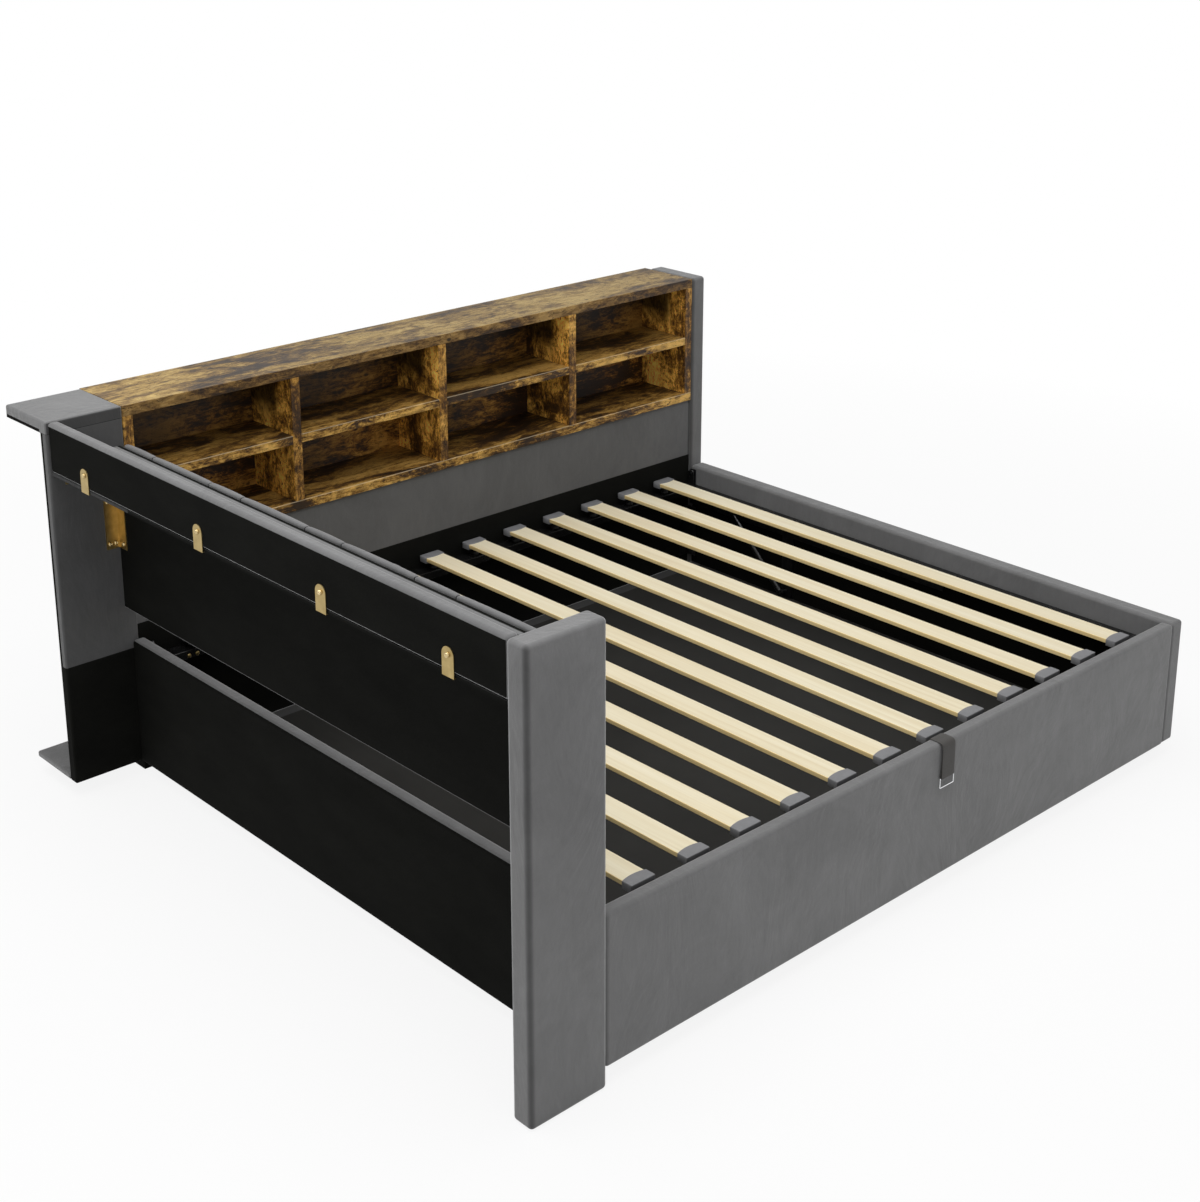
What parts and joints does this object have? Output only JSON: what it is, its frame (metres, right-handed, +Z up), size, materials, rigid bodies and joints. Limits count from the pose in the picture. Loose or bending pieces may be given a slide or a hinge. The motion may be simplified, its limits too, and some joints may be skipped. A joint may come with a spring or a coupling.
{
  "type": "upholstered bed",
  "caption": "Grey velvet storage bed with a padded headboard, a wooden bookcase along one side and a slatted base that lifts on gas springs.",
  "frame": {"origin": "middle of the footprint on the floor", "axes": "+X from the headboard to the foot end, +Y from the front side to the bookcase, +Z up"},
  "size_m": [2.444, 2.1346, 1.08],
  "materials": {
    "velvet": "short-pile velvet",
    "lining": "woven lining",
    "rustic_wood": "rustic grain",
    "pine": "sanded",
    "zinc_steel": "zinc plated",
    "black_steel": "powder coat",
    "gilt_steel": "satin",
    "grey_plastic": "moulded",
    "webbing": "woven webbing",
    "chrome": "polished",
    "floor_board": "dark laminate"
  },
  "bodies": {
    "bed_base": {"front_left_post": "velvet", "rear_right_post": "velvet", "front_rail": "velvet", "end_rail": "velvet", "left_rail": "velvet", "headboard_beam": "velvet", "headboard_ledge": "floor_board", "headboard_board": "lining", "headboard_end_panel": "lining", "headboard_cushion": "velvet", "hook_plates": "gilt_steel", "corner_brackets": "gilt_steel", "headboard_screws": "gilt_steel", "column_front_panel": "velvet", "column_top_plate": "velvet", "column_base_plate": "velvet", "bookcase_top": "rustic_wood", "bookcase_bottom": "rustic_wood", "bookcase_left_side": "rustic_wood", "bookcase_right_side": "rustic_wood", "bookcase_divider_1": "rustic_wood", "bookcase_divider_2": "rustic_wood", "bookcase_divider_3": "rustic_wood", "bookcase_shelf_1": "rustic_wood", "bookcase_shelf_2": "rustic_wood", "bookcase_shelf_3": "rustic_wood", "bookcase_shelf_4": "rustic_wood", "bookcase_back": "rustic_wood", "rear_panel": "velvet", "bookcase_supports": "lining", "storage_floor": "floor_board", "floor_feet": "grey_plastic", "rail_brackets": "zinc_steel", "rail_bracket_bolts": "zinc_steel", "side_plates": "zinc_steel"},
    "lift_base": {"lift_tube_front": "black_steel", "lift_tube_rear": "black_steel", "lift_tube_left": "black_steel", "lift_tube_right": "black_steel", "slat_01": "pine", "slat_02": "pine", "slat_03": "pine", "slat_04": "pine", "slat_05": "pine", "slat_06": "pine", "slat_07": "pine", "slat_08": "pine", "slat_09": "pine", "slat_10": "pine", "slat_11": "pine", "slat_12": "pine", "slat_caps": "grey_plastic", "lift_brackets": "black_steel", "lift_strap": "webbing"},
    "left_cylinder": {"left_spring_cylinder": "black_steel"},
    "left_rod": {"left_spring_rod": "chrome"},
    "right_cylinder": {"right_spring_cylinder": "black_steel"},
    "right_rod": {"right_spring_rod": "chrome"},
    "ring": {"pull_ring": "chrome"}
  },
  "joints": [
    {"name": "base_lift", "type": "hinge", "parent": "bed_base", "child": "lift_base", "pos_m": [0.092, 0.82225, 0.387], "axis": [-1, 0, 0], "range_deg": [0, 45]},
    {"name": "left_spring_swing", "type": "hinge", "parent": "bed_base", "child": "left_cylinder", "pos_m": [-0.952, 0.37525, 0.08], "axis": [1, 0, 0], "range_deg": [0, 15.6]},
    {"name": "left_rod_slide", "type": "slide", "parent": "left_cylinder", "child": "left_rod", "axis": [0, 0.7134, 0.7008], "range_m": [0, 0.14706]},
    {"name": "right_spring_swing", "type": "hinge", "parent": "bed_base", "child": "right_cylinder", "pos_m": [1.136, 0.37525, 0.08], "axis": [1, 0, 0], "range_deg": [0, 15.6]},
    {"name": "right_rod_slide", "type": "slide", "parent": "right_cylinder", "child": "right_rod", "axis": [0, 0.7134, 0.7008], "range_m": [0, 0.14706]},
    {"name": "ring_swing", "type": "hinge", "parent": "lift_base", "child": "ring", "pos_m": [0.134, -1.06405, 0.32], "axis": [-1, 0, 0], "range_deg": [0, 90]}
  ],
  "couplings": [
    {"joint": "left_spring_swing", "follows": "base_lift", "ratio": 0.34638},
    {"joint": "left_rod_slide", "follows": "base_lift", "m_per_rad": 0.18712},
    {"joint": "right_spring_swing", "follows": "base_lift", "ratio": 0.34638},
    {"joint": "right_rod_slide", "follows": "base_lift", "m_per_rad": 0.18712}
  ]
}
